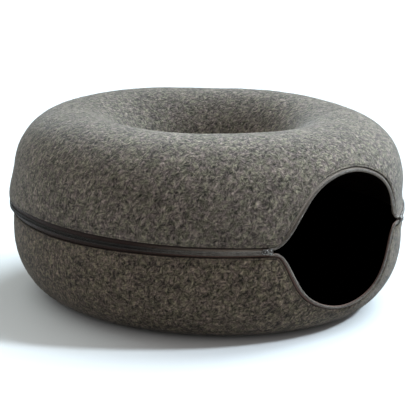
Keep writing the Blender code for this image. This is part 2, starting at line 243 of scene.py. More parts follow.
# The stage and its light ------------------------------------------
FLOOR_RADIUS = 14.0
FLOOR_DROP = 0.0004
FLOOR_COLOUR = (0.36, 0.355, 0.35)
SKY = 0.92
SUN_SOFTNESS = math.radians(50)
LAMP_DISTANCE = 2.5
SPOT_AIM = (-0.015, -0.245, 0.205)    # the shoulder over the doorway
SPOT_WIDTH = 0.3
SPOT_CONE = math.radians(9)

SLOPE_STEP = math.radians(0.2)     # the steps over which slopes are measured
EDGE_STEP = math.radians(0.15)
RANDOM = np.random.default_rng(8)


# The felt's outer face --------------------------------------------
def quarter(upright_end, level_end, roundness, steps=160):
    """A superellipse quarter, from where it stands upright to where it lies level."""
    turn = np.linspace(0.0, math.pi / 2, steps)
    r_share = np.cos(turn).clip(0.0) ** (2 / roundness)
    z_share = np.sin(turn) ** (2 / roundness)
    r = level_end[0] + (upright_end[0] - level_end[0]) * r_share
    z = upright_end[1] + (level_end[1] - upright_end[1]) * z_share
    return np.column_stack([r, z])


class Section:
    """The section line of one half, from the zip to the waist of the hole."""

    def __init__(self, level_outer, level_inner, roundness, outward):
        outer = quarter((RING_RADIUS, ZIP_HEIGHT), level_outer, roundness)
        inner = quarter((HOLE_RADIUS, WAIST_HEIGHT), level_inner, ROUND_HOLE)[::-1]
        if level_outer == level_inner:
            inner = inner[1:]
        line = np.vstack([outer, inner])
        self.r, self.z = line[:, 0], line[:, 1]
        steps = np.hypot(np.diff(self.r), np.diff(self.z))
        self.along = np.concatenate([[0.0], np.cumsum(steps)])
        self.normal_r = outward * np.gradient(self.z, self.along)
        self.normal_z = -outward * np.gradient(self.r, self.along)
        self.length = self.along[-1]
        self.outer_steps = len(outer)

    def at_height(self, rise):
        """How far along the outer face a height above or below the zip is reached."""
        climb = np.abs(self.z[:self.outer_steps] - ZIP_HEIGHT)
        return np.interp(rise, climb, self.along[:self.outer_steps])


RIDGE = (RIDGE_RADIUS, RING_HEIGHT)
SECTIONS = {
    "upper": Section(RIDGE, RIDGE, ROUND_TOP, 1),
    "lower": Section((FOOT_OUTER, 0.0), (FOOT_INNER, 0.0), ROUND_FOOT, -1),
}


def ease(share):
    share = np.clip(share, 0.0, 1.0)
    return share * share * (3 - 2 * share)


def wrapped(bearing):
    return (np.asarray(bearing) + math.pi) % (2 * math.pi) - math.pi


def window(bearing, middle, spread):
    """One at a bearing, fading to none at so many degrees to either side."""
    away = wrapped(bearing - math.radians(middle)) / math.radians(spread)
    return np.cos(away.clip(-1, 1) * math.pi / 2) ** 2


def felt_gap(half, bearing):
    """From the zip line to the felt's edge, measured square to that line."""
    past_door = (np.abs(bearing) - DOOR_HALF_ANGLE) / GAP_GROWS
    gap = GAP_NARROW + (GAP_WIDE - GAP_NARROW) * ease(past_door)
    return gap + sum(most * window(bearing, middle, spread) for middle, spread, most in GAP_SAGS[half])


def oval(bearing):
    """How much further out the ring lies at a bearing than its section says."""
    return 1 + OVAL * np.cos(2 * (bearing - OVAL_TURN))


def hollow(half, bearing, along):
    """How deep the felt has sunk under the full section; where it bulges, less than none."""
    depth = sum(most * window(bearing, middle, spread) * np.exp(-((along - distance) / reach) ** 2)
                for middle, spread, distance, reach, most in HOLLOWS[half])
    return depth * np.clip(along / felt_gap(half, bearing), 0.0, 1.0) ** 2


def place(half, bearing, along, depth=0.0):
    """Points at bearings, so far along the felt's face and so deep under it."""
    bearing, along, depth = np.broadcast_arrays(wrapped(bearing), along, depth)
    section = SECTIONS[half]
    depth = depth + hollow(half, bearing, along)
    r = np.interp(along, section.along, section.r)
    z = np.interp(along, section.along, section.z)
    waves = np.sin(3 * bearing + 0.7) * np.cos(11 * z + 2 * bearing)
    depth = depth - SWAY * ease(z / SWAY_FROM) * waves
    r = r - depth * np.interp(along, section.along, section.normal_r)
    above = (RING_HEIGHT - z) / (RING_HEIGHT - ZIP_HEIGHT)
    zip_weight = np.where(z < ZIP_HEIGHT, z / ZIP_HEIGHT, above)
    top_weight = np.clip(1 - above, 0.0, None)
    rise = sum(most * window(bearing, middle, spread) for middle, spread, most in ZIP_BENDS)
    lean = zip_weight * (ZIP_DIP * np.cos(bearing - ZIP_DIP_BEARING) - rise)
    z = z - depth * np.interp(along, section.along, section.normal_z) - lean
    z = z - top_weight * RIDGE_DIP * np.cos(bearing - RIDGE_DIP_BEARING)
    r = r * oval(bearing)
    return np.stack([r * np.sin(bearing), -r * np.cos(bearing) - AXIS_FORWARD, z], -1)


def even_cut(half, bearing):
    """How far along the face the doorway's even curve is, and zero where the zip is shut."""
    shape = DOOR[half]
    left = bearing < DOOR_CROWN
    corner = np.where(left, -DOOR_HALF_ANGLE, DOOR_HALF_ANGLE)
    across = ((bearing - DOOR_CROWN) / (corner - DOOR_CROWN)).clip(0.0, 1.0)
    fullness = np.where(left, shape["left"][0], shape["right"][0])
    flare = np.where(left, shape["left"][1], shape["right"][1])
    dome = 1 - shape["dome"] * across ** 2
    rise = shape["reach"] * dome * (1 - across ** fullness) ** flare
    return SECTIONS[half].at_height(rise)


def corner_lift(half, bearing):
    """How far the slider holds the free edge off the even curve, just past each corner."""
    past = DOOR_HALF_ANGLE - np.abs(bearing)
    return CORNER_LIFT[half] * ease(past / CORNER_RISE) * (1 - ease((past - CORNER_HOLD) / CORNER_FALL))


def door_cut(half, bearing):
    """How far along the face the zip's free edge is."""
    return even_cut(half, bearing) + corner_lift(half, bearing)


def cut_slope(half, bearing, cut=door_cut):
    """How steeply the free edge climbs, as a rise over a run."""
    rise = cut(half, wrapped(bearing + SLOPE_STEP)) - cut(half, wrapped(bearing - SLOPE_STEP))
    radius = np.interp(cut(half, bearing), SECTIONS[half].along, SECTIONS[half].r)
    return rise / (2 * SLOPE_STEP * radius * oval(bearing))


def beside(half, bearing, offset):
    """Along the face, at an offset square to the zip's free edge."""
    bearing = wrapped(bearing)
    return door_cut(half, bearing) + offset * np.hypot(1.0, cut_slope(half, bearing))


# Meshes -----------------------------------------------------------
def add_object(name, data):
    """An object that rides on the body."""
    made = bpy.data.objects.new(name, data)
    bpy.context.scene.collection.objects.link(made)
    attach(made, "root")
    return made


def mesh_object(name, points, faces, materials, slot, face_materials=None):
    """A smooth piece of given points and faces."""
    data = bpy.data.meshes.new(name)
    faces = faces if isinstance(faces, list) else faces.tolist()
    data.from_pydata(np.asarray(points).tolist(), [], faces)
    for finish in materials:
        data.materials.append(finish)
    if face_materials is not None:
        data.polygons.foreach_set("material_index", np.asarray(face_materials, np.int32))
    data.shade_smooth()
    return add_object(name, data)


def torus_faces(columns, rows, first=0):
    """Quads of a grid that closes on itself both ways; points go row by row in columns."""
    column, row = np.meshgrid(np.arange(columns), np.arange(rows), indexing="ij")
    after, below = (column + 1) % columns, (row + 1) % rows
    quads = [column * rows + row, after * rows + row, after * rows + below, column * rows + below]
    return np.stack(quads, -1).reshape(-1, 4) + first


def outward(points, quads):
    """The quads, turned if need be so that they look out of the closed shape."""
    corners = points[quads]
    volume = np.einsum("ij,ij->", corners[:, 0], np.cross(corners[:, 1], corners[:, 2]))
    volume += np.einsum("ij,ij->", corners[:, 0], np.cross(corners[:, 2], corners[:, 3]))
    return quads if volume > 0 else quads[:, ::-1]


def unit(vectors):
    return vectors / np.linalg.norm(vectors, axis=-1, keepdims=True).clip(1e-12)


def tube_faces(count, steps, sides, closed=False):
    """Quads round several tubes of the same count of steps, and a cap at each open end."""
    step, side = np.meshgrid(np.arange(steps if closed else steps - 1), np.arange(sides), indexing="ij")
    ahead, next_side = (step + 1) % steps, (side + 1) % sides
    quads = [step * sides + side, step * sides + next_side,
             ahead * sides + next_side, ahead * sides + side]
    starts = np.arange(count)[:, None] * steps * sides
    faces = (np.stack(quads, -1).reshape(1, -1, 4) + starts[..., None]).reshape(-1, 4).tolist()
    if not closed:
        first = np.arange(sides)[::-1] + starts
        last = np.arange(sides) + (steps - 1) * sides + starts
        faces += first.tolist() + last.tolist()
    return faces


def tubes(paths, radii, facing, sides, closed=False):
    """Points and faces of tubes along several paths of the same count of points."""
    paths = np.asarray(paths, float)
    count, steps = paths.shape[:2]
    if closed:
        along = np.roll(paths, -1, 1) - np.roll(paths, 1, 1)
    else:
        along = np.gradient(paths, axis=1)
    level = unit(np.cross(unit(along), facing))
    upright = unit(np.cross(level, along))
    turn = np.arange(sides) / sides * 2 * math.pi
    radii = np.broadcast_to(radii, (count, steps))[..., None, None]
    ring = np.cos(turn)[:, None] * level[:, :, None] + np.sin(turn)[:, None] * upright[:, :, None]
    points = (paths[:, :, None] + radii * ring).reshape(-1, 3)
    return points, tube_faces(count, steps, sides, closed)


# Materials --------------------------------------------------------
class Finish:
    """A material whose nodes are added by short calls."""

    def __init__(self, name, roughness, constants=()):
        self.material = bpy.data.materials.new(name)
        self.material.use_nodes = True
        self.nodes = self.material.node_tree.nodes
        self.links = self.material.node_tree.links
        self.shader = self.nodes["Principled BSDF"]
        self.shader.inputs["Roughness"].default_value = roughness
        for socket, value in dict(constants).items():
            self.shader.inputs[socket].default_value = value

    def add(self, kind, inputs=(), **settings):
        made = self.nodes.new(f"ShaderNode{kind}")
        for setting, value in settings.items():
            setattr(made, setting, value)
        for socket, value in dict(inputs).items():
            if isinstance(value, bpy.types.NodeSocket):
                self.links.new(value, made.inputs[socket])
            else:
                made.inputs[socket].default_value = value
        return made

    def where(self):
        return self.add("TexCoord").outputs["Object"]

    def stretched(self, vector, size, turned=(0.0, 0.0, 0.0)):
        """Coordinates in which a cell of that size, turned that way, is one unit."""
        inputs = {"Vector": vector, "Scale": size, "Rotation": turned}
        return self.add("Mapping", inputs, vector_type="TEXTURE").outputs["Vector"]

    def noise(self, vector, detail):
        return self.add("TexNoise", {"Vector": vector, "Scale": 1.0, "Detail": detail}).outputs[0]

    def math(self, operation, first, second=0.5):
        made = self.add("Math", operation=operation)
        for socket, value in zip(made.inputs, (first, second)):
            if isinstance(value, bpy.types.NodeSocket):
                self.links.new(value, socket)
            else:
                socket.default_value = value
        return made.outputs[0]

    def combine(self, operation, values):
        """All the values, one after the other, put through one operation."""
        result = values[0]
        for value in values[1:]:
            result = self.math(operation, result, value)
        return result

    def spread(self, value, low, high, to_low=0.0, to_high=1.0):
        """A value eased from one range into another."""
        inputs = {"Value": value, "From Min": low, "From Max": high,
                  "To Min": to_low, "To Max": to_high}
        return self.add("MapRange", inputs, interpolation_type="SMOOTHSTEP").outputs["Result"]

    def mix(self, share, first, second, blend="MIX"):
        made = self.add("Mix", data_type="RGBA", blend_type=blend)
        for index, value in ((0, share), (6, first), (7, second)):
            if isinstance(value, bpy.types.NodeSocket):
                self.links.new(value, made.inputs[index])
            elif index == 0:
                made.inputs[index].default_value = value
            else:
                made.inputs[index].default_value = (*value, 1.0)
        return made.outputs[2]

    def colour(self, socket):
        self.links.new(socket, self.shader.inputs["Base Color"])

    def bump(self, height, distance, strength=1.0):
        made = self.add("Bump", {"Height": height, "Distance": distance, "Strength": strength})
        self.links.new(made.outputs["Normal"], self.shader.inputs["Normal"])


def strokes(finish, where, across, along):
    """Light and dark strokes in several directions at once, evenly about zero."""
    size = (across, across, along)
    fields = [finish.noise(finish.stretched(where, size, turn), 1.0) for turn in FLECK_TURNS]
    lightest = finish.combine("MAXIMUM", fields)
    darkest = finish.combine("MINIMUM", fields)
    return finish.math("SUBTRACT", finish.math("ADD", lightest, darkest), 1.0)


def bent_space(finish, size, reach):
    """Coordinates pushed about by a slow drift, so that straight strokes curl."""
    where = finish.where()
    drift = finish.add("TexNoise", {"Vector": where, "Scale": 1 / size, "Detail": 1.0})
    pull = finish.add("VectorMath", {0: drift.outputs["Color"], 1: (0.5, 0.5, 0.5)},
                      operation="SUBTRACT").outputs[0]
    pull = finish.add("VectorMath", {0: pull, "Scale": reach}, operation="SCALE").outputs[0]
    return finish.add("VectorMath", {0: where, 1: pull}, operation="ADD").outputs[0]


def felt_finish(name, base, contrast):
    """Heathered wool felt: light and dark fibres matted together every way."""
    finish = Finish(name, 0.95, {"Sheen Weight": 0.05, "Sheen Roughness": 0.5,
                                 "Specular IOR Level": 0.1})
    bent = bent_space(finish, *FELT_CURL)
    cloud = finish.noise(finish.stretched(finish.where(), (CLOUD_SIZE,) * 3), 3.0)
    tones = [finish.spread(cloud, 0.3, 0.7, 0.94, 1.06)]
    heights = []
    for across, along, shading, raising in FELT_STROKES:
        layer = strokes(finish, bent, across, along)
        tones.append(finish.math("MULTIPLY", layer, shading * contrast))
        heights.append(finish.math("MULTIPLY", layer, raising))
    level = finish.math("MAXIMUM", finish.combine("ADD", tones), FELT_DARKEST)
    level = finish.math("POWER", level, FELT_CURVE)
    tone = finish.add("CombineColor", {0: level, 1: level, 2: level}).outputs[0]
    hue = finish.noise(finish.stretched(finish.where(), (HUE_SIZE,) * 3), 2.0)
    tint = finish.mix(finish.spread(hue, 0.3, 0.7), *HUE_SHIFTS)
    tinted = finish.mix(1.0, base, tint, "MULTIPLY")
    finish.colour(finish.mix(1.0, tinted, tone, "MULTIPLY"))
    finish.bump(finish.combine("ADD", heights), 0.0012, 0.5)
    return finish.material


def inner_face_shade_finish():
    """The felt's inner face, painted all but black: painted shade inside the hollow ring, on the same
    felt as outside.
    """
    finish = Finish("felt_inside_painted_shade", 1.0, {"Specular IOR Level": 0.0})
    strands = finish.spread(strokes(finish, finish.where(), 0.0015, 0.005), -0.1, 0.2)
    finish.colour(finish.mix(strands, (0.0003, 0.0003, 0.0003), (0.0009, 0.0008, 0.0007)))
    finish.bump(strands, 0.0004, 0.5)
    return finish.material


def painted_light_in_front(finish, away, near, kept=1.0):
    """A colour that is paler round the doorway: painted light, as if the lamps caught the zip there."""
    apart = finish.add("SeparateXYZ", {"Vector": finish.where()})
    share = finish.spread(apart.outputs["Y"], *PAINTED_LIGHT_FRONT, 1.0, 0.0)
    return finish.mix(finish.math("MULTIPLY", share, kept), away, near)


def painted_light_on_tape(finish, offset):
    """How much of the painted light round the doorway the tape takes: all of it, but less on its outer
    strip where the zip is shut.
    """
    strip = finish.spread(offset, *STRIP_STARTS)
    height = finish.add("SeparateXYZ", {"Vector": finish.where()}).outputs["Z"]
    strip = finish.math("MULTIPLY", strip, finish.spread(height, *OPEN_HEIGHTS, STRIP_DARK, 0.0))
    return finish.math("SUBTRACT", 1.0, strip)


def tape_finish(name, ground, ribs):
    """Woven tape: ribs along it, crossed by the finer weft; each colour away from the doorway and near
    it, the near one painted light.
    """
    finish = Finish(name, 0.5, {"Specular IOR Level": 0.12})
    weave = finish.add("UVMap", uv_map="weave").outputs["UV"]
    apart = finish.add("SeparateXYZ", {"Vector": weave})
    warp = finish.math("SINE", finish.math("MULTIPLY", apart.outputs["Y"], 2 * math.pi / RIB_PITCH))
    weft = finish.math("SINE", finish.math("MULTIPLY", apart.outputs["X"], 2 * math.pi / WEFT_PITCH))
    weft = finish.math("MULTIPLY", weft, warp)
    height = finish.math("ADD", warp, finish.math("MULTIPLY", weft, 0.6))
    patch = finish.noise(finish.stretched(finish.where(), (PATCH_SIZE,) * 3), 3.0)
    shade = finish.math("MULTIPLY", finish.spread(height, -1.2, 1.2), 0.6)
    shade = finish.math("ADD", shade, finish.math("MULTIPLY", patch, 0.5))
    kept = painted_light_on_tape(finish, apart.outputs["Y"])
    low, high = (painted_light_in_front(finish, *tone, kept) for tone in (ground, ribs))
    finish.colour(finish.mix(shade, low, high))
    finish.bump(height, 0.00012, 0.8)
    return finish.material


def cord_finish(name, low, high, roughness, size, shine=0.5):
    """Nylon wire, yarn or thread: a little lighter and darker along its length; where a colour is a
    pair, away and near, it is paler round the doorway with painted light.
    """
    finish = Finish(name, roughness, {"Specular IOR Level": shine})
    mottle = finish.noise(finish.stretched(finish.where(), (size,) * 3), 2.0)
    low, high = (painted_light_in_front(finish, *tone) if isinstance(tone[0], tuple) else tone
                 for tone in (low, high))
    finish.colour(finish.mix(finish.spread(mottle, 0.35, 0.65), low, high))
    fine = finish.noise(finish.stretched(finish.where(), (size / 8,) * 3), 1.0)
    finish.bump(fine, 0.00004, 0.5)
    return finish.material


def metal_finish():
    """Plated die-cast metal, a little worn."""
    finish = Finish("plated_metal", 0.28, {"Metallic": 1.0})
    worn = finish.noise(finish.stretched(finish.where(), (WEAR_SIZE,) * 3), 3.0)
    finish.colour(finish.mix(finish.spread(worn, 0.4, 0.65), (0.17, 0.16, 0.15), (0.03, 0.028, 0.027)))
    finish.links.new(finish.spread(worn, 0.3, 0.7, 0.22, 0.36), finish.shader.inputs["Roughness"])
    finish.bump(worn, 0.00003, 0.4)
    return finish.material


# The felt halves --------------------------------------------------
def felt_bearings():
    """Close-set columns at the doorway's corners, and wider ones round the back."""
    across = np.linspace(-1.0, 1.0, DOOR_COLUMNS + 1)
    crowded = np.sin(across * math.pi / 2)
    door = DOOR_HALF_ANGLE * (CORNER_CROWDING * crowded + (1 - CORNER_CROWDING) * across)
    back = np.linspace(DOOR_HALF_ANGLE, 2 * math.pi - DOOR_HALF_ANGLE, BACK_COLUMNS + 1)
    return wrapped(np.concatenate([door, back[1:-1]]))


def felt_edge(half, bearing):
    bearing = wrapped(bearing)
    steep = np.hypot(1.0, cut_slope(half, bearing, even_cut))
    return even_cut(half, bearing) + felt_gap(half, bearing) * steep


def off_edge(half, bearing, offset):
    """A bearing and a distance along the face, at an offset square to the felt's cut edge."""
    edge = felt_edge(half, bearing)
    radius = np.interp(edge, SECTIONS[half].along, SECTIONS[half].r)
    climb = felt_edge(half, bearing + EDGE_STEP) - felt_edge(half, bearing - EDGE_STEP)
    slope = climb / (2 * EDGE_STEP * radius * oval(bearing))
    steep = np.hypot(1.0, slope)
    return bearing - offset * slope / steep / radius, edge + offset / steep


def seam_sink(half, bearing):
    """How deep the stitches pull the felt in, deepest just below the left slider."""
    middle, spread, deeper = SEAM_PULLED
    extra = deeper * window(bearing, middle, spread) if half == "lower" else 0.0
    return SEAM_SINK * (1 + extra)


def relief(points):
    """The felt's low lumps, at points on its face."""
    heights = np.zeros(len(points))
    for size, height in RELIEF:
        heights += [height * noise.noise(Vector(p) / size) for p in points.tolist()]
    return heights


def felt_half(half, outer_finish, inner_finish):
    """One moulded half: its face, its rounded cut edge, its inner side and its waist."""
    section = SECTIONS[half]
    bearings = felt_bearings()
    columns = len(bearings)
    rows = []        # bearing, along, depth and how freely it takes the felt's lumps

    def add_row(bearing, along, depth, free):
        rows.append((bearing, np.broadcast_to(along, columns), np.broadcast_to(depth, columns), free))

    def face_row(share):
        """Between the last row by the edge and the waist."""
        bearing, start = off_edge(half, bearings, EDGE_ROWS[-1])
        along = start + (section.length - WAIST_ROUND - start) * share
        return bearings + wrapped(bearing - bearings) * (1 - share) ** EDGE_FADE, along

    for share in np.linspace(1.0, 0.0, FACE_ROWS + 1):
        add_row(*face_row(share), 0.0, min(1.0, (1 - share) * RELIEF_FADE))
    for offset in EDGE_ROWS[-2::-1]:
        sink = seam_sink(half, bearings) * math.exp(-((offset - SEAM_OFFSET) / SEAM_WIDTH) ** 2)
        add_row(*off_edge(half, bearings, offset), sink, RELIEF_AT_SEAM)
    for turn in np.linspace(0.0, math.pi, ROUND_ROWS + 1)[1:]:
        out = CUT_ROUND * (1 - abs(math.sin(turn)) ** CUT_FULLNESS)
        add_row(*off_edge(half, bearings, out), FELT / 2 * (1 - math.cos(turn)), 0.0)
    for share in np.linspace(0.0, 1.0, INNER_ROWS + 1)[1:]:
        add_row(*face_row(share), FELT, 0.0)
    for turn in np.linspace(0.0, math.pi, WAIST_STEPS + 1)[1:-1]:
        out = WAIST_ROUND * (1 - math.sin(turn))
        add_row(bearings, section.length - out, FELT / 2 * (1 + math.cos(turn)), 0.0)

    bearing, along, depth = (np.stack([row[i] for row in rows], 1) for i in range(3))
    free = np.array([row[3] for row in rows])
    points = place(half, bearing, along, depth)
    lifted = np.flatnonzero(free)
    heights = relief(points[:, lifted].reshape(-1, 3)).reshape(columns, -1) * free[lifted]
    if half == "lower":
        heights *= ease(points[:, lifted, 2] / FOOT_EASE)
    depth[:, lifted] -= heights
    points = place(half, bearing, along, depth).reshape(-1, 3)
    quads = torus_faces(columns, len(rows))
    row_of_face = np.tile(np.arange(len(rows)), columns)
    first_inner = FACE_ROWS + len(EDGE_ROWS) + ROUND_ROWS - 1
    inside = (row_of_face >= first_inner) & (row_of_face <= first_inner + INNER_ROWS)
    made = mesh_object(f"felt_{half}", points, outward(points, quads),
                       [outer_finish, inner_finish], "felt", inside)
    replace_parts(made, f"{half}_shell")
    return made


def fuzz(half, finish):
    """Single wool fibres that have worked loose and lie over the felt."""
    section = SECTIONS[half]
    bearing = RANDOM.uniform(-math.pi, math.pi, FUZZ_COUNT)
    edge = felt_edge(half, bearing) + FUZZ_FROM_CUT
    along = edge + (section.length - edge) * RANDOM.uniform(0.0, 0.97, FUZZ_COUNT)
    length = RANDOM.uniform(*FUZZ_LENGTH, FUZZ_COUNT)
    heading = RANDOM.uniform(0, 2 * math.pi, FUZZ_COUNT)
    bend = RANDOM.normal(0.0, FUZZ_BEND, FUZZ_COUNT)
    rise = RANDOM.uniform(*FUZZ_RISE, FUZZ_COUNT)
    radius = np.interp(along, section.along, section.r)
    paths = []
    for share in np.linspace(0.0, 1.0, len(FUZZ_TAPER)):
        turned = heading + bend * (share - 0.5)
        b = bearing + length * (share - 0.5) * np.cos(turned) / radius
        a = (along + length * (share - 0.5) * np.sin(turned)).clip(edge, section.length)
        paths.append(place(half, b, a, FUZZ_ROOT - rise * math.sin(math.pi * share)))
    paths = np.stack(paths, 1)
    if half == "lower":
        paths = paths[(paths[:, :, 2] > FUZZ_OVER_FLOOR).all(1)]
    facing = np.cross(paths[:, -1:] - paths[:, :1], (0.3, 0.5, 0.8)) + (0, 0, 1e-6)
    radii = FUZZ_WIRE * np.array(FUZZ_TAPER)
    mesh = tubes(paths, radii, np.broadcast_to(facing, paths.shape), 3)
    return mesh_object(f"fibres_{half}", *mesh, [finish], "felt")


# The zip ----------------------------------------------------------
def tape_side(half, finish):
    """One side of the tape: flat under the coils, then down and in behind the felt."""
    bearings = felt_bearings()
    gap = felt_gap(half, bearings) - corner_lift(half, bearings)
    behind = FELT + TAPE_GAP
    late = TAPE_DIVE + (TAPE_DIVE_OPEN - TAPE_DIVE) * ease(door_cut(half, bearings) / TAPE_OPEN)
    stations = [(TAPE_EDGE, TAPE_DEPTH), (TAPE_MIDDLE, TAPE_DEPTH)]
    for share in np.linspace(0.0, 1.0, TAPE_STEPS):
        depth = TAPE_DEPTH + (behind - TAPE_DEPTH) * share ** late
        stations.append((TAPE_FLAT + (gap - TAPE_FLAT) * share, depth))
    for share in np.linspace(0.0, 1.0, TAPE_HOLD_STEPS + 1)[1:]:
        stations.append((gap + TAPE_HOLD * share, behind))
    offset, depth = (np.stack([np.broadcast_to(station[i], len(bearings)) for station in stations], 1)
                     for i in (0, 1))
    here, gap = bearings[:, None], gap[:, None]
    along = beside(half, here, np.minimum(offset, gap)) + np.maximum(offset - gap, 0.0)
    face, under = (place(half, here, along, depth + thick) for thick in (0.0, TAPE_THICK))
    points = np.concatenate([face, under[:, ::-1]], 1).reshape(-1, 3)
    rows = 2 * len(stations)
    made = mesh_object(f"tape_{half}", points, outward(points, torus_faces(len(bearings), rows)),
                       [finish], "tape")
    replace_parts(made, f"zip_tape_{half}")
    return made, weave_map(made, half, bearings, np.concatenate([offset, offset[:, ::-1]], 1))


def weave_map(made, half, bearings, across):
    """Maps a tape by the metre, along it and across; returns its length."""
    edge = place(half, bearings, beside(half, bearings, TAPE_FLAT))
    run = np.concatenate([[0.0], np.cumsum(np.linalg.norm(np.diff(edge, axis=0), axis=1))])
    total = run[-1] + np.linalg.norm(edge[0] - edge[-1])
    layer = made.data.uv_layers.new(name="weave")
    loops = np.zeros(len(made.data.loops), np.int32)
    made.data.loops.foreach_get("vertex_index", loops)
    corner = run[loops // across.shape[1]].reshape(-1, 4)
    past_end = corner.max(1, keepdims=True) - corner > total / 2
    u = np.where(past_end, corner + total, corner).ravel()
    layer.data.foreach_set("uv", np.stack([u, across.reshape(-1)[loops]], 1).ravel().astype(np.float32))
    return total


class ZipLine:
    """A closed line beside one half's free edge, with its directions and its turns."""

    def __init__(self, half, offset, depth):
        bearing = np.linspace(-math.pi, math.pi, LINE_POINTS)
        here = beside(half, bearing, offset)
        self.points = place(half, bearing, here, depth)
        self.up = unit(place(half, bearing, here, depth - 0.001) - self.points)
        ahead = np.gradient(self.points, axis=0)
        self.across = unit(np.cross(ahead, self.up))
        if half == "lower":
            self.across = -self.across
        steps = np.linalg.norm(np.diff(self.points, axis=0), axis=1)
        run = np.concatenate([[0.0], np.cumsum(steps)])
        low, high = (np.searchsorted(bearing, s * DOOR_HALF_ANGLE) for s in (-1, 1))
        stretches = ((0, low), (low, high), (high, len(bearing) - 1))
        turns = [0.0]
        for first, last in stretches:
            count = round((run[last] - run[first]) / COIL_PITCH)
            share = (run[first + 1:last + 1] - run[first]) / (run[last] - run[first])
            turns.extend(turns[-1] + count * share)
        self.turns = np.array(turns)
        self.count = round(turns[-1])

    def at(self, turn):
        """Points, upward and sideways directions at so many turns along the line."""
        turn = np.asarray(turn) % self.count
        return [np.stack([np.interp(turn, self.turns, v[:, i]) for i in range(3)], -1)
                for v in (self.points, self.up, self.across)]


def coil_side(half, finish):
    """One side of the zip: a nylon coil round the whole rim."""
    line = ZipLine(half, COIL_MIDDLE, COIL_DEPTH)
    turn = np.arange(line.count * COIL_STEPS) / COIL_STEPS
    phase = 2 * math.pi * turn + (0.0 if half == "upper" else math.pi)
    points, up, across = line.at(turn)
    reach, rise = COIL_REACH * np.cos(phase), COIL_RISE * np.sin(phase)
    path = points + across * reach[:, None] + up * rise[:, None]
    ahead = np.roll(points, -1, 0) - np.roll(points, 1, 0)
    mesh = tubes(path[None], COIL_WIRE, unit(ahead)[None], 4, closed=True)
    made = mesh_object(f"coil_side_{half}", *mesh, [finish], "coil")
    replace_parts(made, f"coil_{half}", "zip_chain")
    return made


def coil_thread(half, finish):
    """The thread that holds a coil to its tape, over and between the turns."""
    line = ZipLine(half, THREAD_OFFSET, COIL_DEPTH)
    turn = np.arange(line.count * THREAD_STEPS) / THREAD_STEPS
    points, up, _ = line.at(turn)
    over = COIL_RISE + COIL_WIRE - THREAD_DIP * (0.5 - 0.5 * np.cos(2 * math.pi * turn))
    path = points + up * over[:, None]
    mesh = tubes(path[None], THREAD_WIRE, up[None], 4, closed=True)
    return mesh_object(f"coil_thread_{half}", *mesh, [finish], "tape")


def seam_stitches(half, finish):
    """The line of stitches that sews the tape behind the felt."""
    bearing = np.linspace(-math.pi, math.pi, LINE_POINTS)
    spot, along = off_edge(half, bearing, SEAM_OFFSET)
    line = place(half, spot, along)
    run = np.concatenate([[0.0], np.cumsum(np.linalg.norm(np.diff(line, axis=0), axis=1))])
    count = round(run[-1] / STITCH_LENGTH)
    shares, sinks = np.array(STITCH_FORM).T
    at = (np.arange(count)[:, None] + shares) * run[-1] / count
    spots, alongs = np.interp(at, run, np.unwrap(spot)), np.interp(at, run, along)
    paths = place(half, spots, alongs, sinks + seam_sink(half, spots))
    facing = place(half, spots, alongs, -0.01) - place(half, spots, alongs)
    return mesh_object(f"seam_stitches_{half}", *tubes(paths, STITCH_WIRE, facing, 5), [finish], "tape")


def waist_stitches(finish):
    """Whip stitches that join the two halves round the waist of the hole."""
    count = round(2 * math.pi * HOLE_RADIUS / WAIST_PITCH)
    turn = np.linspace(-1.0, 1.0, 7)
    lean = WAIST_LEAN * WAIST_PITCH / HOLE_RADIUS
    rise = WAIST_RISE - WAIST_DIVE * np.abs(turn) ** 3
    reach = np.abs(turn) * WAIST_BITE
    paths = []
    for number in range(count):
        middle = number / count * 2 * math.pi + RANDOM.normal(0.0, WAIST_SCATTER)
        bearing = middle + lean * turn / 2
        upper, lower = (place(half, bearing, SECTIONS[half].length - reach, -rise)
                        for half in ("upper", "lower"))
        paths.append(np.where(turn[:, None] > 0, upper, lower))
    paths = np.array(paths)
    facing = np.cross(np.gradient(paths, axis=1), (0.0, 0.0, 1.0)) + paths * (1, 1, 0)
    return mesh_object("waist_stitches", *tubes(paths, WAIST_WIRE, facing, 6), [finish], "felt")


# The sliders ------------------------------------------------------
def slider_frame(side):
    """Local axes at a corner of the doorway: x into the doorway, y up, z outward."""
    corner = side * DOOR_HALF_ANGLE
    origin, ahead = (Vector(place("upper", corner - side * step, 0.0))
                     for step in (0.0, math.radians(0.5)))
    x = (ahead - origin).normalized()
    up = Vector((0.0, 0.0, 1.0))
    y = (up - x * up.dot(x)).normalized()
    z = x.cross(y)
    if z.dot(origin) < 0:
        y, z = -y, -z
    origin = origin - x * SLIDER_BACK + y * SLIDER_LIFT
    axes = Matrix((x, y, z)).transposed().to_4x4()
    return Matrix.Translation(origin) @ axes @ Matrix.Rotation(-SLIDER_TIP, 4, "X")


def slider_outline(grow):
    """Narrow at the rear, with two shoulders and a blunt nose at the open end."""
    rear, front = SLIDER_REAR / 2 + grow, SLIDER_FRONT / 2 + grow
    end = SLIDER_LENGTH / 2 + grow
    side = [(-end, 0.6 * rear), (-0.9 * end, rear), (0.1 * end, rear),
            (0.45 * end, front), (0.9 * end, front), (end, 0.6 * front)]
    return side + [(x, -y) for x, y in reversed(side)]


def rounded_plate(mesh, outline, low, high, crown, bevel):
    """A plate with a raised middle and rounded edges, added to a mesh."""
    top = [mesh.verts.new((x, y, high)) for x, y in outline]
    bottom = [mesh.verts.new((x, y, low)) for x, y in outline]
    count = len(outline)
    sides = [mesh.faces.new((top[i], top[(i + 1) % count], bottom[(i + 1) % count], bottom[i]))
             for i in range(count)]
    upper_face = mesh.faces.new(top[::-1])
    mesh.faces.new(bottom)
    bmesh.ops.inset_region(mesh, faces=[upper_face], thickness=SLIDER_RIM, depth=0.0)
    for vert in upper_face.verts:
        vert.co.z += crown
    rims = {edge for face in sides for edge in face.edges}
    bmesh.ops.bevel(mesh, geom=list(rims), offset=bevel, segments=3, profile=0.6, affect="EDGES")


